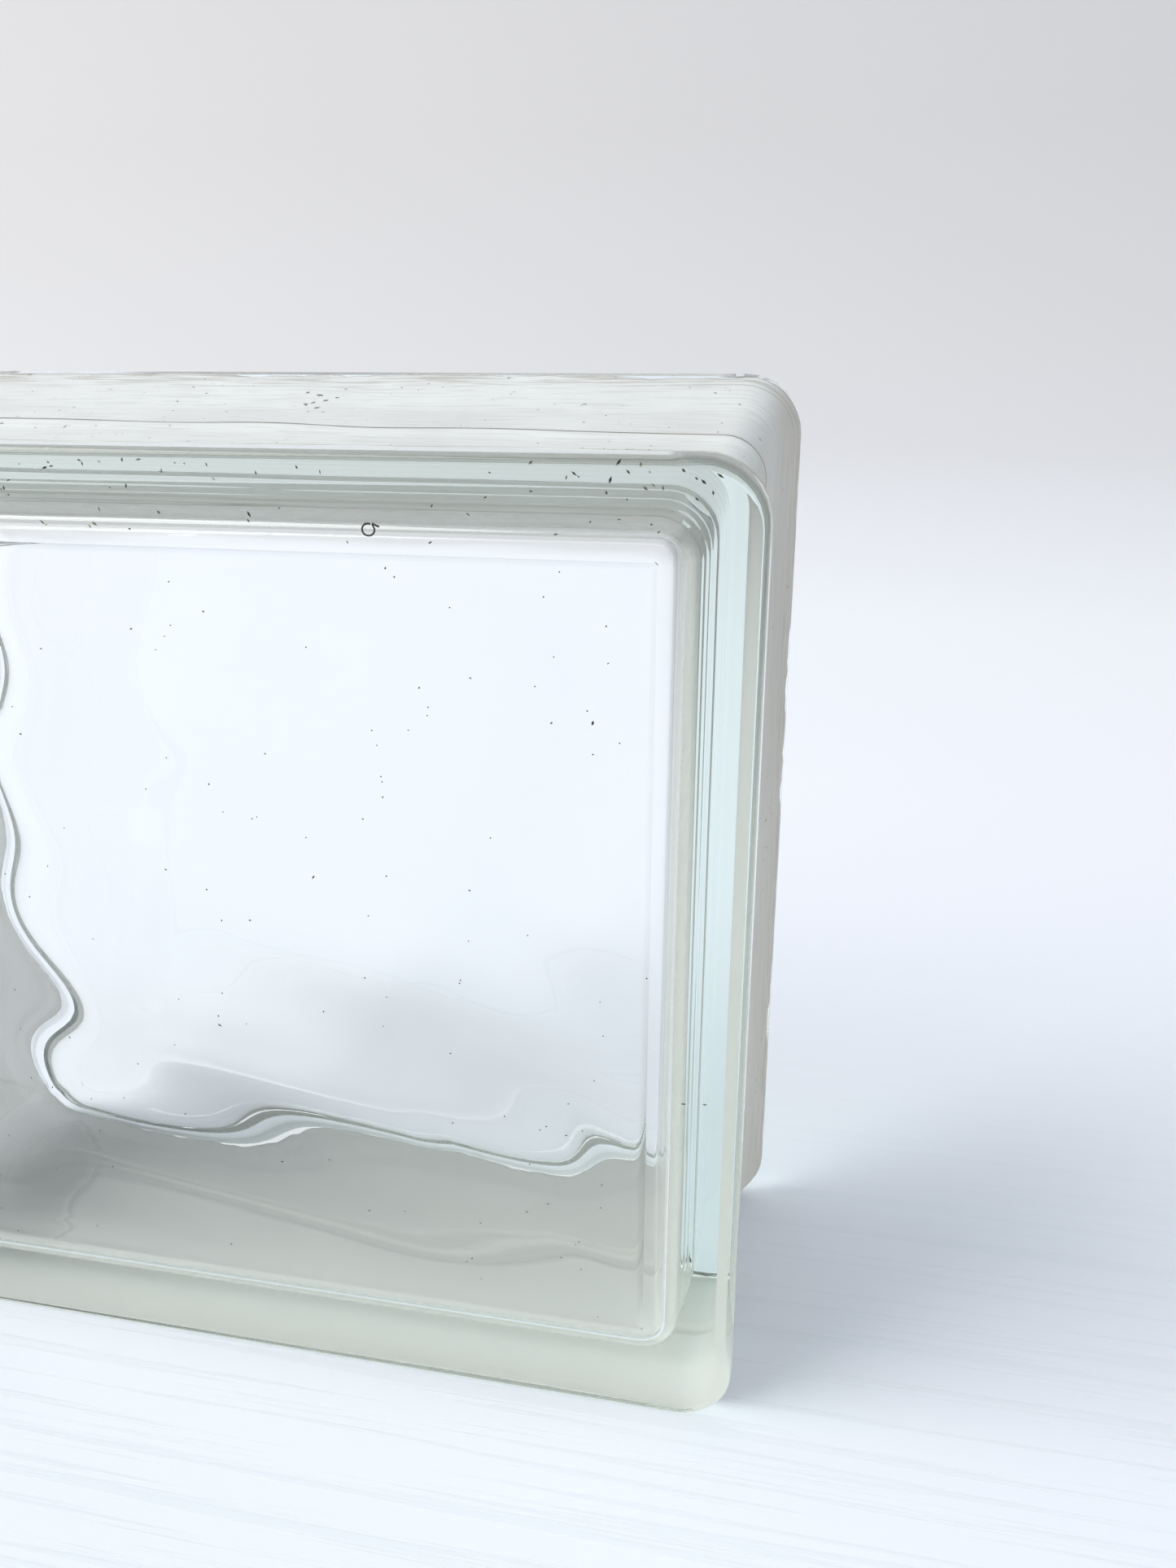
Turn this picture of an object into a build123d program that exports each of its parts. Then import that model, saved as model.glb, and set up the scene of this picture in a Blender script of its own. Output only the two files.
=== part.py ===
from build123d import *
from math import cos, pi, radians, sin, tan
import os

# Hollow glass block, standing on its edge, in millimetres. X runs along the block's
# width, Y through its depth from the front pane to the back pane, and Z up. The origin
# is the middle of the footprint. The block is two pressed glass halves, fused along a
# seam half way through the depth, with a coat of mortar paint on its four edges.

# Whole block
block_side = 190.0
block_depth = 80.0
outline_corner_radius = 11.0
face_edge_radius = 1.8

# Mortar channel round the four edges
flange_land = 5.0
channel_depth = 4.8
channel_slope_run = 14.0
channel_mouth_radius = 3.0
channel_floor_radius = 14.0

# Bead of fused glass along the seam
bead_height = 0.8
bead_width = 6.0

# Coat of paint in the channel
coat_thickness = 0.35
coat_margin = 2.0

# Cavity between the halves
pane_thickness = 5.8
wall_thickness = 6.0
wall_draft = 1.5
cavity_corner_radius = 8.0
pane_fillet_radius = 5.6

# Waves pressed on the inner side of each pane: a raised ground with sloped sides
flat_border = 0.5
ground_side_angle = 45.0
ground_edge_height = 0.5
wave_run_in = 16.0
wave_mean_height = 1.75
wave_trains = 4
longest_wave = 87.5
wave_length_ratio = 0.72
tallest_wave = 0.465
wave_height_ratio = 0.88
first_wave_angle = 4.0
wave_angle_step = 81.0
first_wave_phase = 0.38
wave_phase_step = 4.1
wave_sample = 7.0

# How far a cutting shape runs past what it cuts, and how deep the ground starts in the pane
cut_overrun = 2.0
ground_sink = 0.15

half_side = block_side / 2
half_depth = block_depth / 2
mouth_half_width = half_depth - flange_land
floor_half_width = mouth_half_width - channel_slope_run
coat_half_width = mouth_half_width - coat_margin
cavity_half_side = half_side - channel_depth - wall_thickness
cavity_half_depth = half_depth - pane_thickness
draft_inset = cavity_half_depth * tan(radians(wall_draft))
wave_half_side = cavity_half_side - draft_inset - pane_fillet_radius - flat_border

# Plane of the seam, seen from the front, and the plane across the top edge's middle
seam_plane = Plane(origin=(0, 0, half_side), x_dir=(1, 0, 0), z_dir=(0, -1, 0))
edge_plane = Plane(origin=(0, 0, block_side), x_dir=(0, 1, 0), z_dir=(1, 0, 0))


def run_in_share(from_middle):
    """Share of the waves' height at a distance from the pane's middle line: none at the
    edge of the ground, all of it past the run-in, and a smooth step between."""
    share = min(max((wave_half_side - abs(from_middle)) / wave_run_in, 0), 1)
    return share**2 * (3 - 2 * share)


def wave_height(across, up):
    """Height of the ground over the pane, at a point given from its middle. The ground has
    one height all round its edge. Past the run-in it carries trains of plain sine waves,
    each shorter, lower and turned further than the last."""
    swell = wave_mean_height - ground_edge_height
    for train in range(wave_trains):
        angle = radians(first_wave_angle + train * wave_angle_step)
        length = longest_wave * wave_length_ratio**train
        crest = tallest_wave * wave_height_ratio**train
        along = across * cos(angle) + up * sin(angle)
        swell += crest * sin(2 * pi * along / length + first_wave_phase + train * wave_phase_step)
    return ground_edge_height + swell * run_in_share(across) * run_in_share(up)


def wave_slab(side, quarter_turns):
    """Slab with the waves as its inner face, wider than the ground on every side."""
    reach = wave_half_side + cut_overrun
    steps = round(2 * reach / wave_sample)
    turn = radians(90 * quarter_turns)
    rows = []
    for i in range(steps + 1):
        x = side * (-reach + 2 * reach * i / steps)
        row = []
        for j in range(steps + 1):
            z = -reach + 2 * reach * j / steps
            height = wave_height(x * cos(turn) + z * sin(turn), z * cos(turn) - x * sin(turn))
            row.append(Vector(x, side * (cavity_half_depth - height), half_side + z))
        rows.append(row)
    crests = Face.make_surface_from_array_of_points(rows)
    return extrude(crests, amount=pane_thickness, dir=(0, side, 0))


def pressed_waves(side, quarter_turns):
    """Glass that stands up from one pane, sunk a little into the pane for a clean cut.
    Both halves come from one mould, so the back is the front turned by quarter turns."""
    pane_plane = Plane(
        origin=(0, side * (cavity_half_depth + ground_sink), half_side), x_dir=(1, 0, 0), z_dir=(0, -side, 0)
    )
    with BuildPart() as ground:
        with BuildSketch(pane_plane):
            Rectangle(2 * wave_half_side, 2 * wave_half_side)
        extrude(amount=pane_thickness, taper=ground_side_angle)
        add(wave_slab(side, quarter_turns), mode=Mode.INTERSECT)
    return ground.part


# Outline of the faces, followed once round from the middle of the top edge
straight_run = block_side - 2 * outline_corner_radius
with BuildLine(seam_plane) as outline_path:
    run = Line((0, half_side), (straight_run / 2, half_side))
    for corner in range(4):
        bend = JernArc(run @ 1, run % 1, outline_corner_radius, -90)
        length = straight_run if corner < 3 else straight_run / 2
        run = Line(bend @ 1, bend @ 1 + (bend % 1) * length)

# Section of the channel across an edge: sloped flanges, a flat floor and the bead
with BuildSketch(edge_plane) as channel_section:
    with BuildLine():
        Polyline(
            (-mouth_half_width, cut_overrun),
            (-mouth_half_width, 0),
            (-floor_half_width, -channel_depth),
            (floor_half_width, -channel_depth),
            (mouth_half_width, 0),
            (mouth_half_width, cut_overrun),
            close=True,
        )
    make_face()
    floor_corners = channel_section.vertices().group_by(Axis.Y)[0]
    fillet(floor_corners, channel_floor_radius)
    with BuildLine():
        bead = SagittaArc((-bead_width / 2, -channel_depth), (bead_width / 2, -channel_depth), bead_height)
        Line(bead @ 1, bead @ 0)
    make_face(mode=Mode.SUBTRACT)

# The coat keeps its thickness over the floor, the bead and most of each slope
channel_over_coat = offset(channel_section.sketch_local, -coat_thickness, mode=Mode.PRIVATE)
with BuildSketch(edge_plane) as coat_section:
    add(channel_section.sketch_local)
    add(channel_over_coat, mode=Mode.SUBTRACT)
    with Locations((0, -channel_depth / 2)):
        Rectangle(2 * coat_half_width, channel_depth, mode=Mode.INTERSECT)

# Cavity: the front half has walls drafted from the seam and rounded into a flat pane, the
# back half mirrors it, and the pressed waves stand up from both panes
front_waves = pressed_waves(-1, 0)
back_waves = pressed_waves(1, 1)
with BuildPart() as cavity:
    with BuildSketch(seam_plane):
        RectangleRounded(2 * cavity_half_side, 2 * cavity_half_side, cavity_corner_radius)
    extrude(amount=cavity_half_depth)
    draft(cavity.faces().filter_by(Axis.Y, reverse=True), neutral_plane=seam_plane, angle=wall_draft)
    fillet(cavity.faces().sort_by(Axis.Y)[0].edges(), pane_fillet_radius)
    mirror(about=seam_plane)
    add(front_waves, mode=Mode.SUBTRACT)
    add(back_waves, mode=Mode.SUBTRACT)

with BuildPart() as glass_block:
    with BuildSketch(seam_plane):
        RectangleRounded(block_side, block_side, outline_corner_radius)
    extrude(amount=half_depth, both=True)
    for pane_side in (0, -1):
        fillet(glass_block.faces().sort_by(Axis.Y)[pane_side].edges(), face_edge_radius)
    sweep(channel_section.sketch, path=outline_path.line, mode=Mode.SUBTRACT)
    for mouth in (-mouth_half_width, mouth_half_width):
        near_mouth = (mouth - face_edge_radius, mouth + face_edge_radius)
        fillet(glass_block.edges().filter_by_position(Axis.Y, *near_mouth), channel_mouth_radius)
    add(cavity.part, mode=Mode.SUBTRACT)
glass_block.part.label = "glass_block"

with BuildPart() as edge_coat:
    sweep(coat_section.sketch, path=outline_path.line)
edge_coat.part.label = "edge_coat"

os.makedirs("parts", exist_ok=True)
export_step(glass_block.part, "parts/glass_block.step")
export_step(edge_coat.part, "parts/edge_coat.step")
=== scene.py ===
from math import cos, pi, radians, sin, tan

import bpy
import numpy as np
from mathutils import Matrix, Vector


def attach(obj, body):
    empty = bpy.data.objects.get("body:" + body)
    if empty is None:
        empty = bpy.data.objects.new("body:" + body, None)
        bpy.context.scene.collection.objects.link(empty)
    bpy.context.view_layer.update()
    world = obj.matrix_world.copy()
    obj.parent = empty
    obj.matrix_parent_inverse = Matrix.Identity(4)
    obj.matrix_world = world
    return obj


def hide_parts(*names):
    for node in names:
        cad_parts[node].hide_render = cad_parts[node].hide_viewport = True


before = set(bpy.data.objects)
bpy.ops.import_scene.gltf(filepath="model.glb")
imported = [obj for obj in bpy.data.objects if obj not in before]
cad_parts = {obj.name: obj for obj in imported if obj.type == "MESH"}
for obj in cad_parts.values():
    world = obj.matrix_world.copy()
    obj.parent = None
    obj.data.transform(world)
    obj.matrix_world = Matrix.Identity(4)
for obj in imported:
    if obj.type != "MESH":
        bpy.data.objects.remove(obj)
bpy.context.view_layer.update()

# Camera. It stood right of the block's middle and above it, looking down, and the
# block runs out of the left side of the frame.
MM = 0.001
view_point = Vector((111.34, -292.62, 243.08)) * MM
tilt_down, lean, turn_left = radians(23.622), radians(2.423), radians(16.403)
axis_in_picture = (514.4, 993.9)
picture_size = (1445, 1927)
focal_pixels = 2021.84

camera_data = bpy.data.cameras.new("photo_camera")
camera_data.sensor_width = 36.0
camera_data.lens = focal_pixels / picture_size[1] * camera_data.sensor_width
camera_data.shift_x = (picture_size[0] / 2 - axis_in_picture[0]) / picture_size[1]
camera_data.shift_y = (axis_in_picture[1] - picture_size[1] / 2) / picture_size[1]
camera_data.clip_start = 0.01
photo_camera = bpy.data.objects.new("photo_camera", camera_data)
bpy.context.scene.collection.objects.link(photo_camera)
aim = Matrix.Rotation(turn_left, 4, "Z") @ Matrix.Rotation(-tilt_down, 4, "X")
aim = aim @ Matrix.Rotation(lean, 4, "Y")
photo_camera.matrix_world = Matrix.Translation(view_point) @ aim @ Matrix.Rotation(radians(90), 4, "X")
bpy.context.scene.camera = photo_camera

# Glass block. Two soda-lime glass halves, each pressed in a mould with a waved
# plunger, then fused hot along the seam half way through the depth. One piece
# of glass: an outer skin with the mortar channel, and the skin of the hollow.
half_side = 95.0
half_depth = 40.0
outline_corner = 11.0
face_edge = 1.8
mouth = 35.0
channel_floor = 4.8
slope_run = 14.0
mouth_round = 3.0
floor_round = 14.0
bead_half_width = 3.0
bead_rise = 0.8
hollow_half_side = 84.2
hollow_half_depth = 34.2
hollow_corner = 8.0
hollow_draft = radians(1.5)
pane_fillet = 5.6
flat_border = 0.5
ground_edge_height = 0.5
ground_side_slope = 0.55
wave_run_in = 16.0
wave_mean_height = 1.75
longest_wave, wave_length_ratio = 87.5, 0.72
tallest_wave, wave_height_ratio = 0.465, 0.88
first_wave_angle, wave_angle_step = radians(4.0), radians(81.0)
first_wave_phase, wave_phase_step = 0.38, 4.1
wave_half_side = hollow_half_side - hollow_half_depth * tan(hollow_draft) - pane_fillet - flat_border
skin_gap = 0.03
ripple_height = 0.035
seam_lean = 0.045
seam_reach = 14

straight_steps = 84
corner_steps = 8


def ring(half, corner):
    """Rounded square in the plane of a pane, once round: straight sides of even steps,
    and quarter circles of the given radius about corner centres at half - corner."""
    half, corner = np.broadcast_arrays(np.asarray(half, float), np.asarray(corner, float))
    reach = half - corner
    along = np.linspace(-1, 1, straight_steps + 1)[:-1]
    bend = np.linspace(0, pi / 2, corner_steps + 1)[:-1]
    side_x = np.concatenate([along, np.ones(corner_steps)])
    side_out = np.concatenate([np.ones(straight_steps), np.cos(bend)])
    side_in = np.concatenate([np.zeros(straight_steps), np.sin(bend)])
    across = reach[..., None] * side_x + corner[..., None] * side_in
    outward = reach[..., None] + corner[..., None] * side_out
    x = np.concatenate([across, outward, -across, -outward], -1)
    z = np.concatenate([outward, -across, -outward, across], -1)
    return x, z


def channel_inset(y):
    """How far the channel lies inside the outline, at a distance y from the seam: flat
    land, quarter of a mouth arc, straight slope, floor arc, flat floor, bead arc."""
    off = np.abs(y)
    slope = np.arctan2(channel_floor, slope_run)
    mouth_cut = mouth_round * tan(slope / 2)
    floor_cut = floor_round * tan(slope / 2)
    floor_edge = mouth - slope_run
    bead_radius = (bead_half_width**2 + bead_rise**2) / (2 * bead_rise)
    inset = (mouth - off) * channel_floor / slope_run
    land_arc = mouth_round - np.sqrt(np.maximum(mouth_round**2 - (mouth + mouth_cut - off) ** 2, 0))
    inset = np.where(off > mouth - mouth_cut * cos(slope), land_arc, inset)
    inset = np.where(off > mouth + mouth_cut, 0, inset)
    floor_arc = channel_floor - floor_round + np.sqrt(
        np.maximum(floor_round**2 - (off - floor_edge + floor_cut) ** 2, 0)
    )
    inset = np.where(off < floor_edge + floor_cut * cos(slope), floor_arc, inset)
    inset = np.where(off < floor_edge - floor_cut, channel_floor, inset)
    bead = np.sqrt(np.maximum(bead_radius**2 - off**2, 0)) - bead_radius + bead_rise
    return inset - np.where(off < bead_half_width, bead, 0)


def seam_wander(x, z):
    """Sideways drift of the fused seam in millimetres: a lean across the block's width
    and two slow sines round it."""
    turn = np.arctan2(z, x)
    return -seam_lean * x + 0.4 * np.sin(3 * turn + 0.8) + 0.3 * np.sin(11 * turn + 2.0)


def near_seam(y):
    """1 at the seam, falling on a straight line to 0 where the reach of its drift ends."""
    return np.clip(1 - np.abs(y) / seam_reach, 0, 1)


def run_in_share(from_middle):
    """Share of the waves' height at a distance from the pane's middle line: a smooth step
    from none at the ground's edge to all of it past the run-in."""
    share = np.clip((wave_half_side - np.abs(from_middle)) / wave_run_in, 0, 1)
    return share**2 * (3 - 2 * share)


def wave_height(x, z):
    """Height of the pressed ground over the pane: its edge height, and past the run-in
    four trains of plain sine waves, each shorter, lower and turned further than the last."""
    swell = np.full_like(x, wave_mean_height - ground_edge_height)
    for train in range(4):
        angle = first_wave_angle + train * wave_angle_step
        length = longest_wave * wave_length_ratio**train
        crest = tallest_wave * wave_height_ratio**train
        along = x * cos(angle) + z * sin(angle)
        swell += crest * np.sin(2 * pi * along / length + first_wave_phase + train * wave_phase_step)
    return ground_edge_height + swell * run_in_share(x) * run_in_share(z)


def pane_rings(side, quarter_turns):
    """Inner face of one pane as rings from its flat border to its middle. The ground's
    height is the smooth lesser of a share of the distance inside the border, which gives
    it sloped sides softened by the fusing heat, and the height of the waves."""
    x0, z0 = ring(wave_half_side, 0.3)
    c, s = cos(quarter_turns * pi / 2), sin(quarter_turns * pi / 2)
    side_steps = ground_edge_height * np.array([0, 0.15, 0.35, 0.6, 0.8, 1.0, 1.2, 1.5, 2.0, 3.0, 4.5])
    even_steps = np.linspace(side_steps[-1], wave_half_side, 50)[1:-1]
    inside = np.concatenate([side_steps, even_steps])[:, None]
    scale = 1 - inside / wave_half_side
    x, z = x0 * scale, z0 * scale
    height = wave_height(x * c + z * s, z * c - x * s)
    soft = 1.3 * ground_edge_height
    slope = ground_side_slope * inside
    lesser = np.minimum(slope, height) - np.maximum(soft - np.abs(slope - height), 0) ** 2 / (4 * soft)
    lesser[0] = 0
    return x, side * (hollow_half_depth - lesser), z


def skin_faces(rings, count, first, closed_low, closed_high):
    """Quads between neighbouring rings, and fans of triangles to a middle point."""
    k, i = np.meshgrid(np.arange(rings - 1), np.arange(count), indexing="ij")
    a = first + k * count + i
    b = first + k * count + (i + 1) % count
    quads = np.stack([a, b, b + count, a + count], -1).reshape(-1, 4)
    i = np.arange(count)
    last = first + (rings - 1) * count
    low = np.stack([np.full(count, closed_low), first + (i + 1) % count, first + i], -1)
    high = np.stack([np.full(count, closed_high), last + i, last + (i + 1) % count], -1)
    return quads, np.concatenate([low, high])


def outer_skin():
    """Outer skin from the front pane round the edges to the back pane: rounded face
    edge, then the channel section, each as a ring at its own inset."""
    quarter = np.linspace(0, pi / 2, 7)
    edge_y = half_depth - face_edge + face_edge * np.cos(quarter)
    edge_inset = face_edge * (1 - np.sin(quarter))
    near = np.array([36.4, 35.5, 35.2, 34.9, 34.5, 33.5, 31, 28, 25.5, 23.2, 22, 20.5, 19, 17.5, 14])
    seam = np.array([10, 6.5, 4.2, 3.5, 3.0, 2.4, 1.6, 0.8, 0])
    half = np.concatenate([near, seam])
    y = np.concatenate([-edge_y, -half, half[-2::-1], edge_y[::-1]])
    inset = np.concatenate([edge_inset, channel_inset(half), channel_inset(half[-2::-1]), edge_inset[::-1]])
    inset = inset + skin_gap
    x, z = ring(half_side - inset, np.maximum(outline_corner - inset, 0.5))
    y = y[:, None] * (1 - skin_gap / half_depth) + np.zeros_like(x)
    return x, y + seam_wander(x, z) * near_seam(y), z


def mould_ripple(x, y, z):
    """Uneven plunger marks on the walls in millimetres: ridges that run with the edges,
    as sines of the distance from the seam whose phase drifts slowly round the block."""
    turn = np.arctan2(z, x)
    drift = 0.9 * np.sin(2 * turn + 0.4) + 0.5 * np.sin(5 * turn + 1.9)
    coarse = np.sin(2 * pi * y / 6.1 + drift)
    fine = 0.6 * np.sin(2 * pi * y / 3.4 - 1.7 * drift)
    return ripple_height * (coarse + fine) * np.clip((np.abs(y) - 6) / 8, 0, 1)


def hollow_skin():
    """Skin of the hollow from the front pane to the back pane: waves, flat border,
    fillet arc, drafted wall to the seam, and the same again."""
    pane_inset = hollow_half_depth * tan(hollow_draft)
    arc = np.linspace(0, pi / 2, 13)[1:]
    fillet_y = hollow_half_depth - pane_fillet * (1 - np.cos(arc))
    fillet_inset = pane_inset + pane_fillet * (1 - np.sin(arc))
    fillet_inset[-1] = fillet_y[-1] * tan(hollow_draft)
    wall_y = np.concatenate([np.arange(27.5, 7, -1.25), [5.5, 4, 2.6, 1.6, 0.8, 0]])
    bead = 0.5 * np.exp(-((wall_y / 1.3) ** 2))
    wall_inset = wall_y * tan(hollow_draft) + bead
    border_y = np.full(3, hollow_half_depth)
    border_inset = pane_inset + pane_fillet + np.array([flat_border * 0.6, flat_border * 0.2, 0])
    half_y = np.concatenate([border_y, fillet_y, wall_y])
    half_inset = np.concatenate([border_inset, fillet_inset, wall_inset])
    y = np.concatenate([-half_y, half_y[-2::-1]])
    inset = np.concatenate([half_inset, half_inset[-2::-1]])
    x, z = ring(hollow_half_side - inset, np.maximum(hollow_corner - inset, 0.3))
    inner_x, inner_z = ring(hollow_half_side - inset - 1, np.maximum(hollow_corner - inset, 0.3))
    y = y[:, None] + np.zeros_like(x)
    ripple = mould_ripple(x, y, z) * np.clip((hollow_half_depth - np.abs(y)) / pane_fillet, 0, 1)
    x, z = x + (inner_x - x) * ripple, z + (inner_z - z) * ripple
    y = y + seam_wander(x, z) * near_seam(y)
    front, back = pane_rings(-1, 0), pane_rings(1, 1)
    return tuple(np.concatenate([f[::-1], m, b]) for f, m, b in zip(front, (x, y, z), back))


def build_glass():
    """Both skins in one mesh, in metres, with the normals of each out of the glass."""
    points, quads, fans, start = [], [], [], 0
    for skin, outward in ((outer_skin(), True), (hollow_skin(), False)):
        x, y, z = skin
        rings, count = x.shape
        coords = np.stack([x, y, z + half_side], -1).reshape(-1, 3)
        ends = np.array([[0, y[0].mean(), half_side], [0, y[-1].mean(), half_side]])
        points += [coords, ends]
        low = start + len(coords)
        q, f = skin_faces(rings, count, start, low, low + 1)
        quads.append(q if outward else q[:, ::-1])
        fans.append(f if outward else f[:, ::-1])
        start += len(coords) + 2
    points = np.concatenate(points) * MM
    mesh = bpy.data.meshes.new("fused_glass")
    mesh.from_pydata(points.tolist(), [], np.concatenate(quads).tolist() + np.concatenate(fans).tolist())
    mesh.shade_smooth()
    mesh.update()
    return bpy.data.objects.new("fused_glass", mesh)


fused_glass = build_glass()
bpy.context.scene.collection.objects.link(fused_glass)


def node_tree_of(finish):
    """Nodes and links of a new material, and its Principled shader."""
    finish.use_nodes = True
    tree = finish.node_tree
    return tree.nodes, tree.links, tree.nodes["Principled BSDF"]


def add_node(nodes, kind, **values):
    """New node with the values of its named inputs set; an underscore stands for a space."""
    node = nodes.new(kind)
    for name, value in values.items():
        node.inputs[name.replace("_", " ")].default_value = value
    return node


def fine_dirt_group():
    """Node group of dust and specks. Clouds is soft noise, and Specks is finer noise cut
    off high, thicker where the clouds are thick."""
    group = bpy.data.node_groups.new("fine_dirt", "ShaderNodeTree")
    sockets = group.interface
    sockets.new_socket("Vector", in_out="INPUT", socket_type="NodeSocketVector")
    sockets.new_socket("Speck Scale", in_out="INPUT", socket_type="NodeSocketFloat").default_value = 900.0
    sockets.new_socket("Cloud Scale", in_out="INPUT", socket_type="NodeSocketFloat").default_value = 30.0
    sockets.new_socket("Cut Off", in_out="INPUT", socket_type="NodeSocketFloat").default_value = 0.7
    sockets.new_socket("Specks", in_out="OUTPUT", socket_type="NodeSocketFloat")
    sockets.new_socket("Clouds", in_out="OUTPUT", socket_type="NodeSocketFloat")
    nodes, links = group.nodes, group.links
    given = nodes.new("NodeGroupInput")
    made = nodes.new("NodeGroupOutput")
    clouds = add_node(nodes, "ShaderNodeTexNoise", Detail=5.0, Roughness=0.6)
    specks = add_node(nodes, "ShaderNodeTexNoise", Detail=2.0, Roughness=0.5)
    for noise, scale in ((clouds, "Cloud Scale"), (specks, "Speck Scale")):
        links.new(given.outputs["Vector"], noise.inputs["Vector"])
        links.new(given.outputs[scale], noise.inputs["Scale"])
    lift = add_node(nodes, "ShaderNodeMapRange")
    lift.inputs["From Min"].default_value = 0.35
    lift.inputs["From Max"].default_value = 0.65
    lift.inputs["To Min"].default_value = -0.06
    lift.inputs["To Max"].default_value = 0.03
    links.new(clouds.outputs["Fac"], lift.inputs["Value"])
    total = nodes.new("ShaderNodeMath")
    total.operation = "ADD"
    links.new(specks.outputs["Fac"], total.inputs[0])
    links.new(lift.outputs["Result"], total.inputs[1])
    above = nodes.new("ShaderNodeMath")
    above.operation = "SUBTRACT"
    links.new(total.outputs[0], above.inputs[0])
    links.new(given.outputs["Cut Off"], above.inputs[1])
    sharp = add_node(nodes, "ShaderNodeMapRange")
    sharp.inputs["From Min"].default_value = 0.0
    sharp.inputs["From Max"].default_value = 0.025
    links.new(above.outputs[0], sharp.inputs["Value"])
    links.new(sharp.outputs["Result"], made.inputs["Specks"])
    links.new(clouds.outputs["Fac"], made.inputs["Clouds"])
    return group


fine_dirt = fine_dirt_group()

glass_finish = bpy.data.materials.new("pale_green_glass")
nodes, links, body = node_tree_of(glass_finish)
body.inputs["Base Color"].default_value = (1.0, 1.0, 1.0, 1)
body.inputs["Metallic"].default_value = 0.0
body.inputs["Transmission Weight"].default_value = 1.0
body.inputs["IOR"].default_value = 1.52
place = nodes.new("ShaderNodeTexCoord")
film = nodes.new("ShaderNodeGroup")
film.node_tree = fine_dirt
film.inputs["Cloud Scale"].default_value = 38.0
film_haze = nodes.new("ShaderNodeMapRange")
film_haze.inputs["From Min"].default_value = 0.48
film_haze.inputs["From Max"].default_value = 0.8
film_haze.inputs["To Min"].default_value = 0.0
film_haze.inputs["To Max"].default_value = 0.015
links.new(place.outputs["Object"], film.inputs["Vector"])
links.new(film.outputs["Clouds"], film_haze.inputs["Value"])
links.new(film_haze.outputs["Result"], body.inputs["Roughness"])
light_path = nodes.new("ShaderNodeLightPath")
from_middle = add_node(nodes, "ShaderNodeVectorMath")
from_middle.operation = "SUBTRACT"
from_middle.inputs[1].default_value = (0.0, 0.0, half_side * MM)
reach_of = add_node(nodes, "ShaderNodeVectorMath")
reach_of.operation = "ABSOLUTE"
reach_parts = nodes.new("ShaderNodeSeparateXYZ")
reach = nodes.new("ShaderNodeMath")
reach.operation = "MAXIMUM"
in_rim = add_node(nodes, "ShaderNodeMapRange")
in_rim.inputs["From Min"].default_value = (hollow_half_side + 0.3) * MM
in_rim.inputs["From Max"].default_value = (hollow_half_side + 1.5) * MM
shade = nodes.new("ShaderNodeMix")
shade.data_type = "RGBA"
shade.inputs["A"].default_value = (0.99, 1.0, 1.0, 1)
shade.inputs["B"].default_value = (0.72, 0.77, 0.77, 1)
let_light_in = nodes.new("ShaderNodeBsdfTransparent")
links.new(place.outputs["Object"], from_middle.inputs[0])
links.new(from_middle.outputs["Vector"], reach_of.inputs[0])
links.new(reach_of.outputs["Vector"], reach_parts.inputs["Vector"])
links.new(reach_parts.outputs["X"], reach.inputs[0])
links.new(reach_parts.outputs["Z"], reach.inputs[1])
links.new(reach.outputs[0], in_rim.inputs["Value"])
links.new(in_rim.outputs["Result"], shade.inputs["Factor"])
links.new(shade.outputs["Result"], let_light_in.inputs["Color"])
blend = nodes.new("ShaderNodeMixShader")
links.new(light_path.outputs["Is Shadow Ray"], blend.inputs["Fac"])
links.new(body.outputs["BSDF"], blend.inputs[1])
links.new(let_light_in.outputs["BSDF"], blend.inputs[2])
links.new(blend.outputs["Shader"], nodes["Material Output"].inputs["Surface"])
tint = add_node(nodes, "ShaderNodeVolumeAbsorption", Color=(0.66, 0.87, 0.79, 1), Density=6.5)
links.new(tint.outputs["Volume"], nodes["Material Output"].inputs["Volume"])
fused_glass.data.materials.append(glass_finish)
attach(fused_glass, "root")
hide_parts("glass_block")

# Edge coat. White polymer paint brushed into the mortar channel on all four edges
# so that mortar grips it. It is bonded to the glass, thin and ragged at both of its
# borders, and a lip of squeezed glass shows through it along the seam. Its colour
# holds painted shade: the lip's shadow, a soft shade with dust behind the lip, and
# the shaded right side.
coat_thickness = 0.35
front_reach = 35.4
back_reach = 35.0
coat_bond = 0.05
lip_rise = 0.3
lip_half_width = 0.6


def coat_border(x, z, phase, waves):
    """Wandering border of the brushed coat in millimetres: a sum of sines round the
    block, from pairs of how many waves go round and how far they reach."""
    turn = np.arctan2(z, x)
    wander = np.zeros_like(x)
    for count, size in waves:
        wander += size * np.sin(count * turn + phase * (count % 7 + 1))
    return wander


def coat_depth(turn, share):
    """Thickness of the coat in millimetres: uneven by two waves round the block, and run
    out to a thin skin at both borders, where the share of the reach is 1."""
    uneven = 1 + 0.25 * np.sin(5 * turn + share * 4) + 0.2 * np.sin(17 * turn - share * 9)
    runout = np.clip((1 - np.abs(share)) / 0.06, 0, 1)
    return coat_thickness * uneven * (0.12 + 0.88 * runout)


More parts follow.
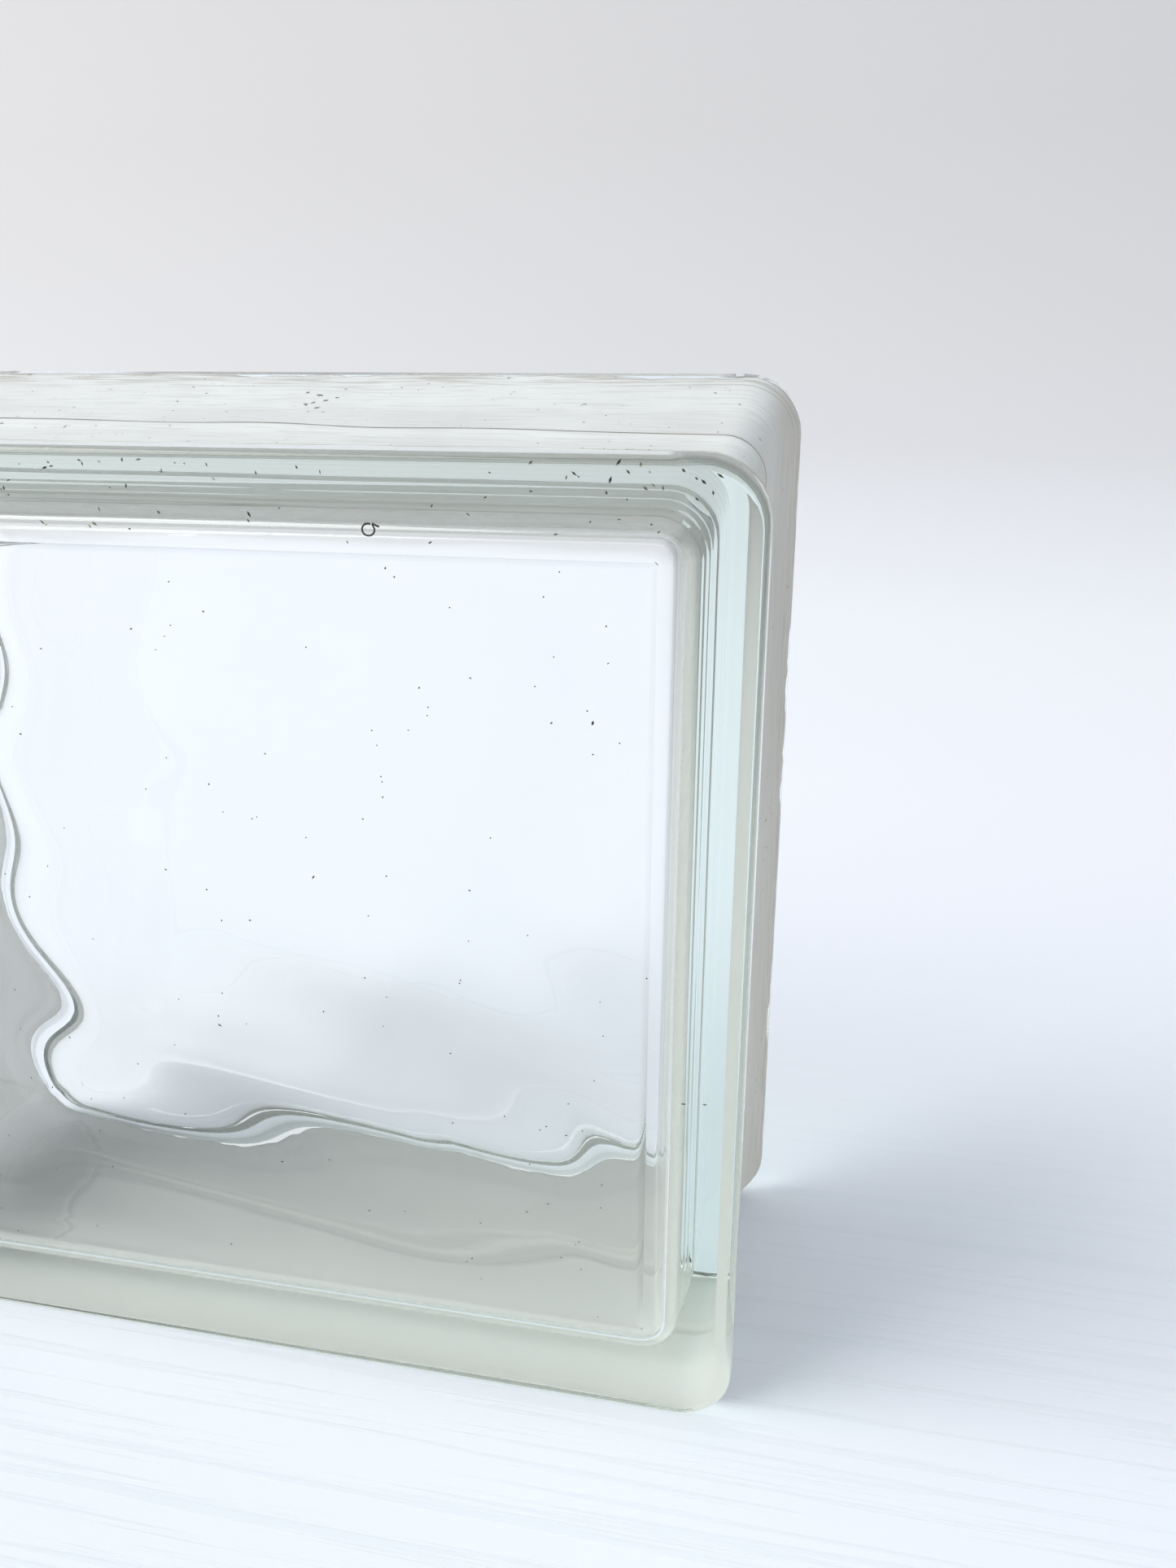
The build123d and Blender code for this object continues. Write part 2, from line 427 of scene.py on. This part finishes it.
def build_coat():
    """Closed thin shell over the channel section: the outer side stands off it by the
    paint's thickness, which runs out at both borders, and the inner side lies just
    inside the glass. U runs round the block and V across it from the seam, in metres."""
    half = np.concatenate([np.linspace(1, 0.88, 7), np.linspace(0.83, 0.14, 16)])
    seam = np.array([0.11, 0.085, 0.065, 0.045, 0.03, 0.02, 0.013, 0.007, 0])
    share = np.concatenate([-half, -seam, seam[-2::-1], half[::-1]])[:, None]
    x0, z0 = ring(half_side, outline_corner)
    x1, z1 = ring(half_side - 1, outline_corner - 1)
    turn = np.arctan2(z0, x0)
    front = front_reach + coat_border(x0, z0, 0.7, ((5, 0.2), (9, 0.15), (23, 0.05)))
    back = back_reach + coat_border(x0, z0, 2.9, ((9, 0.6), (23, 0.5), (57, 0.35), (131, 0.25)))
    y = share * np.where(share < 0, front, back)
    lip = lip_rise * np.exp(-((y / lip_half_width) ** 2)) * (1 + 0.4 * np.sin(13 * turn))
    thick = coat_depth(turn, share) + lip
    drift = seam_wander(x0, z0) * near_seam(y)

    def skin(stand_off):
        inset = np.maximum(channel_inset(y) + skin_gap - stand_off, 0.02)
        return np.stack([x0 + (x1 - x0) * inset, y + drift, z0 + (z1 - z0) * inset + half_side], -1)

    outer_points, inner_points = skin(thick), skin(-coat_bond)
    rows, count = y.shape
    points = np.concatenate([outer_points.reshape(-1, 3), inner_points.reshape(-1, 3)])
    k, i = np.meshgrid(np.arange(rows - 1), np.arange(count), indexing="ij")
    a = k * count + i
    b = k * count + (i + 1) % count
    outer = np.stack([a, b, b + count, a + count], -1).reshape(-1, 4)
    inner = outer[:, ::-1] + rows * count
    i = np.arange(count)
    j = (i + 1) % count
    low = np.stack([i + rows * count, j + rows * count, j, i], -1)
    top = (rows - 1) * count
    high = np.stack([top + i, top + j, top + j + rows * count, top + i + rows * count], -1)
    faces = np.concatenate([outer, inner, low, high])
    mesh = bpy.data.meshes.new("brushed_coat")
    mesh.from_pydata((points * MM).tolist(), [], faces.tolist())

    steps = np.hypot(np.diff(x0, append=x0[:1]), np.diff(z0, append=z0[:1]))
    around = np.concatenate([[0], np.cumsum(steps)])
    column = faces % count
    wraps = (column.max(1) - column.min(1) > count / 2)[:, None] & (column == 0)
    u = around[np.where(wraps, count, column)]
    v = np.concatenate([y.ravel(), y.ravel()])[faces]
    uv = mesh.uv_layers.new(name="round_and_across")
    uv.data.foreach_set("uv", (np.stack([u, v], -1) * MM).ravel())
    bonded = mesh.attributes.new("bonded_side", "FLOAT", "POINT")
    bonded.data.foreach_set("value", np.repeat([0.0, 1.0], rows * count))
    mesh.shade_smooth()
    mesh.update()
    return bpy.data.objects.new("brushed_coat", mesh)


brushed_coat = build_coat()
bpy.context.scene.collection.objects.link(brushed_coat)


def band(nodes, links, source, low, high, soft):
    """1 where a value lies between low and high, falling to 0 over the given softness."""
    sides = []
    for edge, sign in ((low, 1), (high, -1)):
        side = add_node(nodes, "ShaderNodeMapRange")
        side.interpolation_type = "SMOOTHSTEP"
        side.inputs["From Min"].default_value = edge - sign * soft
        side.inputs["From Max"].default_value = edge
        links.new(source, side.inputs["Value"])
        sides.append(side.outputs["Result"])
    both = nodes.new("ShaderNodeMath")
    both.operation = "MULTIPLY"
    links.new(sides[0], both.inputs[0])
    links.new(sides[1], both.inputs[1])
    return both.outputs[0]


def paint_over(nodes, links, under, mask, strength, colour):
    """Colour laid over another by a mask times a strength."""
    share = nodes.new("ShaderNodeMath")
    share.operation = "MULTIPLY"
    share.inputs[1].default_value = strength
    links.new(mask, share.inputs[0])
    mix = nodes.new("ShaderNodeMix")
    mix.data_type = "RGBA"
    mix.inputs["B"].default_value = (*colour, 1)
    links.new(share.outputs[0], mix.inputs["Factor"])
    links.new(under, mix.inputs["A"])
    return mix.outputs["Result"]


coat_finish = bpy.data.materials.new("brushed_white_coat")
nodes, links, body = node_tree_of(coat_finish)
body.inputs["Roughness"].default_value = 0.55
place = nodes.new("ShaderNodeTexCoord")
grime = nodes.new("ShaderNodeGroup")
grime.node_tree = fine_dirt
grime.inputs["Cloud Scale"].default_value = 24.0
grime.inputs["Speck Scale"].default_value = 620.0
grime.inputs["Cut Off"].default_value = 0.715
links.new(place.outputs["Object"], grime.inputs["Vector"])
tone = nodes.new("ShaderNodeValToRGB")
tone.color_ramp.elements[0].position = 0.3
tone.color_ramp.elements[0].color = (0.88, 0.875, 0.86, 1)
tone.color_ramp.elements[1].position = 0.62
tone.color_ramp.elements[1].color = (0.965, 0.965, 0.955, 1)
links.new(grime.outputs["Clouds"], tone.inputs["Fac"])
stretch = nodes.new("ShaderNodeMapping")
stretch.inputs["Scale"].default_value = (60.0, 1400.0, 1.0)
links.new(place.outputs["UV"], stretch.inputs["Vector"])
strokes = add_node(nodes, "ShaderNodeTexNoise", Scale=1.0, Detail=4.0, Roughness=0.55)
links.new(stretch.outputs["Vector"], strokes.inputs["Vector"])
stroke_mask = band(nodes, links, strokes.outputs["Fac"], 0.62, 2.0, 0.1)
apart = nodes.new("ShaderNodeSeparateXYZ")
links.new(place.outputs["UV"], apart.inputs["Vector"])
across = apart.outputs["Y"]
colour = paint_over(nodes, links, tone.outputs["Color"], stroke_mask, 0.35, (0.66, 0.65, 0.63))
# Painted soft shade with yellowish dust, in a band behind the lip where the coat dips.
lip_shade_and_dust = band(nodes, links, across, 0.0008, 0.0034, 0.0016)
colour = paint_over(nodes, links, colour, lip_shade_and_dust, 0.5, (0.60, 0.55, 0.42))
# Painted shadow: a dark thin line along the seam, where the lip shades the coat.
lip_shadow_line = band(nodes, links, across, -0.0001, 0.0009, 0.0004)
colour = paint_over(nodes, links, colour, lip_shadow_line, 0.9, (0.13, 0.11, 0.08))
colour = paint_over(nodes, links, colour, grime.outputs["Specks"], 0.75, (0.16, 0.13, 0.10))
from_seam = nodes.new("ShaderNodeMath")
from_seam.operation = "ABSOLUTE"
links.new(across, from_seam.inputs[0])
near_border = band(nodes, links, from_seam.outputs[0], 0.0345, 1.0, 0.007)
worn = band(nodes, links, strokes.outputs["Fac"], 0.58, 2.0, 0.14)
border_grime = nodes.new("ShaderNodeMath")
border_grime.operation = "MULTIPLY"
links.new(near_border, border_grime.inputs[0])
links.new(worn, border_grime.inputs[1])
colour = paint_over(nodes, links, colour, border_grime.outputs[0], 0.6, (0.46, 0.42, 0.35))
where = nodes.new("ShaderNodeSeparateXYZ")
links.new(place.outputs["Object"], where.inputs["Vector"])
# Painted shade: the coat on the right side, turned away from the light, darkened to warm grey-brown.
right_side_shade = band(nodes, links, where.outputs["X"], (half_side - 2) * MM, 1.0, 0.006)
colour = paint_over(nodes, links, colour, right_side_shade, 0.6, (0.60, 0.53, 0.44))
side_of_coat = nodes.new("ShaderNodeAttribute")
side_of_coat.attribute_name = "bonded_side"
colour = paint_over(nodes, links, colour, side_of_coat.outputs["Fac"], 0.95, (0.98, 0.985, 0.97))
links.new(colour, body.inputs["Base Color"])
bump = add_node(nodes, "ShaderNodeBump", Strength=0.3, Distance=0.0002)
links.new(strokes.outputs["Fac"], bump.inputs["Height"])
links.new(bump.outputs["Normal"], body.inputs["Normal"])
glow = nodes.new("ShaderNodeBsdfTranslucent")
let_through = add_node(nodes, "ShaderNodeMapRange")
let_through.inputs["To Min"].default_value = 0.3
let_through.inputs["To Max"].default_value = 0.6
thin_paint = nodes.new("ShaderNodeMixShader")
links.new(colour, glow.inputs["Color"])
links.new(side_of_coat.outputs["Fac"], let_through.inputs["Value"])
from_inside = nodes.new("ShaderNodeNewGeometry")
share_through = nodes.new("ShaderNodeMath")
share_through.operation = "MAXIMUM"
links.new(let_through.outputs["Result"], share_through.inputs[0])
links.new(from_inside.outputs["Backfacing"], share_through.inputs[1])
links.new(share_through.outputs[0], thin_paint.inputs["Fac"])
links.new(body.outputs["BSDF"], thin_paint.inputs[1])
links.new(glow.outputs["BSDF"], thin_paint.inputs[2])
links.new(thin_paint.outputs["Shader"], nodes["Material Output"].inputs["Surface"])
brushed_coat.data.materials.append(coat_finish)
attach(brushed_coat, "root")
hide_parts("edge_coat")

# Dirt. What lies on the glass and the coat: a curled fibre and flakes of grit on the
# front pane, scratches of old mortar near its top rim, a dark streak and crumbs on
# the top edge. All of it is thin, and nothing of it is fixed.
face_lift = 0.018
flake_half_thickness = 0.011
fine_count, rim_count, dust_count, heap_count = 150, 60, 130, 70
streak_count, streak_length, streak_width, streak_turn = 16, 3.4, 0.6, 0.02
front_scratches = np.array([
    (71.5, 189.1), (73.0, 187.6), (74.9, 188.8), (81.5, 188.0), (84.6, 186.3), (57.6, 188.8),
    (64.5, 187.2), (70.2, 186.3), (75.7, 185.1), (78.4, 185.2), (87.1, 187.3), (-35.2, 182.7),
    (-34.1, 184.1), (-12.3, 188.0), (-9.3, 188.1), (-6.6, 179.2), (-18.8, 176.9), (-26.9, 186.4),
    (-28.7, 176.9), (-12.1, 183.6), (9.7, 179.3), (9.5, 178.2), (16.5, 112.7), (-4.9, 78.9),
    (84.4, 73.4), (88.2, 73.8), (67.6, 145.8),
])
top_crumbs = np.array([
    (61.5, -30.4, 0.9), (0.5, 19.0, 0.8), (1.6, 21.5, 1.0), (2.4, 24.5, 0.8), (-1.6, 23.0, 0.9),
    (0.2, 26.5, 1.0), (3.9, 18.0, 0.6), (-2.4, 27.5, 0.7), (4.4, 25.6, 0.6), (5.2, 29.0, 0.5),
    (-68, 34, 0.45), (-64, 27, 0.4), (-53, 17, 0.4), (80, 20, 0.5), (82, 12, 0.4), (84, 24, 0.45),
    (79, 28, 0.5), (76, 22, 0.35), (83, 17, 0.4), (74, 30, 0.4), (40, 28, 0.35), (22, 31, 0.4),
    (-22, 30, 0.35),
])


def flakes(middles, length, width, turn, long_axis, short_axis, flat_axis):
    """Flat eight-sided grains: six corner points at plus and minus half the length, width
    and thickness from each middle, the length turned in the plane of the surface."""
    c, s = np.cos(turn)[:, None], np.sin(turn)[:, None]
    along = (c * long_axis + s * short_axis) * length[:, None] / 2
    beside = (c * short_axis - s * long_axis) * width[:, None] / 2
    out = np.broadcast_to(np.asarray(flat_axis, float) * flake_half_thickness, along.shape)
    corners = np.stack([along, beside, -along, -beside, out, -out], 1) + middles[:, None]
    low = np.arange(len(middles))[:, None, None] * 6
    upper = np.array([(0, 1, 4), (1, 2, 4), (2, 3, 4), (3, 0, 4)])
    lower = np.array([(1, 0, 5), (2, 1, 5), (3, 2, 5), (0, 3, 5)])
    return corners.reshape(-1, 3), (low + np.concatenate([upper, lower])).reshape(-1, 3)


def curled_fibre():
    """Thin tube along a curl on the front pane: an oval of 1.3 turns, whose radius shrinks
    and whose middle moves aside over its last stretch."""
    steps, sides = 40, 5
    t = np.linspace(0, 1, steps)
    tail = np.clip((t - 0.72) / 0.28, 0, 1)
    angle = 1.2 + t * 2.6 * pi
    x = 30.4 + (1.05 - 0.5 * tail) * np.cos(angle) + 2.4 * tail
    z = 177.3 + (1.0 - 0.4 * tail) * np.sin(angle) + 0.5 * tail
    around = np.linspace(0, 2 * pi, sides, endpoint=False)
    off_x = np.gradient(z) / np.hypot(np.gradient(x), np.gradient(z))
    off_z = -np.gradient(x) / np.hypot(np.gradient(x), np.gradient(z))
    wide, thin = 0.17, 0.012
    px = x[:, None] + off_x[:, None] * wide * np.cos(around)
    pz = z[:, None] + off_z[:, None] * wide * np.cos(around)
    py = -half_depth + face_lift + thin * np.sin(around) + np.zeros_like(px)
    k, i = np.meshgrid(np.arange(steps - 1), np.arange(sides), indexing="ij")
    a, b = k * sides + i, k * sides + (i + 1) % sides
    quads = np.stack([a, a + sides, b + sides, b], -1).reshape(-1, 4)
    ends = [list(range(sides)), [(steps - 1) * sides + n for n in reversed(range(sides))]]
    return np.stack([px, py, pz], -1).reshape(-1, 3), quads.tolist() + ends


def build_dirt():
    """All marks in one mesh, in metres: fibre, scratches and specks on the front pane,
    then the crumbs and the streak on the top edge at the height of the coat there."""
    chance = np.random.default_rng(12)
    right, back, up = np.eye(3)
    fine = np.stack([chance.uniform(-78, 78, fine_count), chance.uniform(20, 172, fine_count)], -1)
    rim_x = chance.uniform(-90, 90, rim_count)
    rim = np.stack([rim_x, 2 * half_side - 13 * chance.random(rim_count) ** 2 - 2.2], -1)
    front = np.concatenate([front_scratches, fine, rim])
    count = len(front_scratches)
    lengths = ((0.8, 1.5, count), (0.3, 0.6, fine_count), (0.4, 1.0, rim_count))
    widths = ((0.3, 0.5, count), (0.22, 0.38, fine_count), (0.22, 0.4, rim_count))
    length = np.concatenate([chance.uniform(*span) for span in lengths])
    width = np.concatenate([chance.uniform(*span) for span in widths])
    middles = np.stack([front[:, 0], np.full(len(front), -half_depth + face_lift), front[:, 1]], -1)
    turn = chance.uniform(0, pi, len(front))
    parts = [curled_fibre(), flakes(middles, length, width, turn, right, up, -back)]
    dust_x = chance.uniform(-84, 84, dust_count)
    dust_y = chance.uniform(-33, 35, dust_count)
    dust = np.stack([dust_x, dust_y, chance.uniform(0.15, 0.4, dust_count)], -1)
    heap_x = 84 - 20 * chance.random(heap_count) ** 1.6
    heap_y = chance.uniform(-35, -20, heap_count)
    heap = np.stack([heap_x, heap_y, chance.uniform(0.2, 0.5, heap_count)], -1)
    x, y, size = np.concatenate([top_crumbs, dust, heap]).T
    paint = coat_depth(np.arctan2(half_side, x), y / front_reach)
    z = 2 * half_side - channel_inset(y) - skin_gap + paint
    on_top = np.stack([x, y, np.minimum(z, 2 * half_side - face_lift)], -1)
    turn = chance.uniform(0, pi, len(x))
    parts.append(flakes(on_top, size * 2.4, size, turn, right, back, up))
    x = np.linspace(-60, -30, streak_count)
    y = -32.4 + 0.02 * (x + 45)
    paint = coat_depth(np.arctan2(half_side, x), y / front_reach)
    on_top = np.stack([x, y, 2 * half_side - channel_inset(y) + paint], -1)
    size = np.outer((streak_length, streak_width), np.ones(streak_count))
    turn = np.full(streak_count, streak_turn)
    parts.append(flakes(on_top, *size, turn, right, back, up))
    points, faces, start = [], [], 0
    for part_points, part_faces in parts:
        points.append(part_points)
        faces += [[n + start for n in face] for face in part_faces]
        start += len(part_points)
    mesh = bpy.data.meshes.new("loose_dirt")
    mesh.from_pydata((np.concatenate(points) * MM).tolist(), [], faces)
    mesh.update()
    return bpy.data.objects.new("loose_dirt", mesh)


loose_dirt = build_dirt()
bpy.context.scene.collection.objects.link(loose_dirt)

dirt_finish = bpy.data.materials.new("dark_grit")
nodes, links, body = node_tree_of(dirt_finish)
body.inputs["Roughness"].default_value = 0.8
place = nodes.new("ShaderNodeTexCoord")
patches = add_node(nodes, "ShaderNodeTexNoise", Scale=160.0, Detail=2.0)
shades = nodes.new("ShaderNodeValToRGB")
shades.color_ramp.elements[0].position = 0.42
shades.color_ramp.elements[0].color = (0.03, 0.025, 0.018, 1)
shades.color_ramp.elements[1].position = 0.62
shades.color_ramp.elements[1].color = (0.16, 0.135, 0.07, 1)
links.new(place.outputs["Object"], patches.inputs["Vector"])
links.new(patches.outputs["Fac"], shades.inputs["Fac"])
links.new(shades.outputs["Color"], body.inputs["Base Color"])
loose_dirt.data.materials.append(dirt_finish)
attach(loose_dirt, "root")

# Stage. A pale painted board under the block, swept up behind it, and soft daylight
# from the left. None of it is part of the object.
board_front, bend_start, bend_radius, board_top = -2.5, 0.9, 0.5, 2.6
board_half_width = 3
flat_steps, bend_steps = 12, 16
bend = np.linspace(0, pi / 2, bend_steps)[1:]
flat_y = np.linspace(board_front, bend_start, flat_steps)
sweep_y = np.concatenate([flat_y, bend_start + bend_radius * np.sin(bend), [bend_start + bend_radius]])
sweep_z = np.concatenate([np.zeros(flat_steps), bend_radius - bend_radius * np.cos(bend), [board_top]])
sweep_x = np.linspace(-board_half_width, board_half_width, 9)
X, Y = np.meshgrid(sweep_x, sweep_y, indexing="ij")
Z = np.broadcast_to(sweep_z, X.shape)
board_points = np.stack([X, Y, Z], -1).reshape(-1, 3)
k, i = np.meshgrid(np.arange(len(sweep_x) - 1), np.arange(len(sweep_y) - 1), indexing="ij")
a = k * len(sweep_y) + i
board_faces = np.stack([a, a + len(sweep_y), a + len(sweep_y) + 1, a + 1], -1).reshape(-1, 4)
board_mesh = bpy.data.meshes.new("pale_board")
board_mesh.from_pydata(board_points.tolist(), [], board_faces.tolist())
board_mesh.shade_smooth()
pale_board = bpy.data.objects.new("pale_board", board_mesh)
bpy.context.scene.collection.objects.link(pale_board)

board_finish = bpy.data.materials.new("pale_board_paint")
nodes, links, body = node_tree_of(board_finish)
body.inputs["Roughness"].default_value = 0.75
place = nodes.new("ShaderNodeTexCoord")
apart = nodes.new("ShaderNodeSeparateXYZ")
links.new(place.outputs["Object"], apart.inputs["Vector"])
distance = add_node(nodes, "ShaderNodeMapRange")
distance.inputs["From Min"].default_value = -0.3
distance.inputs["From Max"].default_value = 1.3
links.new(apart.outputs["Y"], distance.inputs["Value"])
far_tone = nodes.new("ShaderNodeValToRGB")
far_tone.color_ramp.elements[0].position = 0.12
far_tone.color_ramp.elements[0].color = (0.835, 0.86, 0.915, 1)
far_tone.color_ramp.elements[1].position = 1.0
far_tone.color_ramp.elements[1].color = (0.63, 0.605, 0.605, 1)
for stop, shade in ((0.3, (0.87, 0.88, 0.935, 1)), (0.5, (0.86, 0.86, 0.895, 1))):
    element = far_tone.color_ramp.elements.new(stop)
    element.color = shade
links.new(distance.outputs["Result"], far_tone.inputs["Fac"])
grain_place = nodes.new("ShaderNodeMapping")
grain_place.inputs["Rotation"].default_value = (0, 0, radians(12))
grain_place.inputs["Scale"].default_value = (6.0, 260.0, 1.0)
links.new(place.outputs["Object"], grain_place.inputs["Vector"])
grain = add_node(nodes, "ShaderNodeTexNoise", Scale=1.0, Detail=5.0, Roughness=0.6)
links.new(grain_place.outputs["Vector"], grain.inputs["Vector"])
grain_mask = band(nodes, links, grain.outputs["Fac"], 0.60, 2.0, 0.1)
near_by = add_node(nodes, "ShaderNodeMapRange")
near_by.inputs["From Min"].default_value = -0.08
near_by.inputs["From Max"].default_value = 0.12
near_by.inputs["To Min"].default_value = 1.0
near_by.inputs["To Max"].default_value = 0.0
near_grain = nodes.new("ShaderNodeMath")
near_grain.operation = "MULTIPLY"
links.new(apart.outputs["Y"], near_by.inputs["Value"])
links.new(grain_mask, near_grain.inputs[0])
links.new(near_by.outputs["Result"], near_grain.inputs[1])
bare_tone = far_tone.outputs["Color"]
board_colour = paint_over(nodes, links, bare_tone, near_grain.outputs[0], 0.3, (0.72, 0.75, 0.80))
links.new(board_colour, body.inputs["Base Color"])
bump = add_node(nodes, "ShaderNodeBump", Strength=0.25, Distance=0.0004)
links.new(near_grain.outputs[0], bump.inputs["Height"])
links.new(bump.outputs["Normal"], body.inputs["Normal"])
board_mesh.materials.append(board_finish)

world = bpy.data.worlds.new("soft_sky")
bpy.context.scene.world = world
world.use_nodes = True
sky = world.node_tree.nodes["Background"]
sky.inputs["Color"].default_value = (0.82, 0.915, 1.0, 1)
sky.inputs["Strength"].default_value = 0.7
seen_sky = world.node_tree.nodes.new("ShaderNodeBackground")
seen_sky.inputs["Color"].default_value = (0.80, 0.81, 0.83, 1)
seen_sky.inputs["Strength"].default_value = 1.0
ray = world.node_tree.nodes.new("ShaderNodeLightPath")
camera_or_glossy = world.node_tree.nodes.new("ShaderNodeMath")
camera_or_glossy.operation = "MAXIMUM"
any_seen = world.node_tree.nodes.new("ShaderNodeMath")
any_seen.operation = "MAXIMUM"
sky_choice = world.node_tree.nodes.new("ShaderNodeMixShader")
links = world.node_tree.links
links.new(ray.outputs["Is Camera Ray"], camera_or_glossy.inputs[0])
links.new(ray.outputs["Is Glossy Ray"], camera_or_glossy.inputs[1])
links.new(camera_or_glossy.outputs[0], any_seen.inputs[0])
links.new(ray.outputs["Is Transmission Ray"], any_seen.inputs[1])
links.new(any_seen.outputs[0], sky_choice.inputs["Fac"])
links.new(sky.outputs["Background"], sky_choice.inputs[1])
links.new(seen_sky.outputs["Background"], sky_choice.inputs[2])
links.new(sky_choice.outputs["Shader"], world.node_tree.nodes["World Output"].inputs["Surface"])


def soft_lamp(name, place, aim_at, size, power, colour):
    """A square area lamp at a place, turned to face a point."""
    data = bpy.data.lights.new(name, "AREA")
    data.shape = "SQUARE"
    data.size = size
    data.energy = power
    data.color = colour
    lamp = bpy.data.objects.new(name, data)
    lamp.location = place
    lamp.rotation_euler = (Vector(aim_at) - Vector(place)).to_track_quat("-Z", "Y").to_euler()
    bpy.context.scene.collection.objects.link(lamp)
    return lamp


soft_lamp("window_light", (-2.2, -1.1, 2.5), (0, 0.1, 0.05), 2.8, 100, (1.0, 0.985, 0.94))

bpy.context.scene.view_settings.view_transform = "Standard"
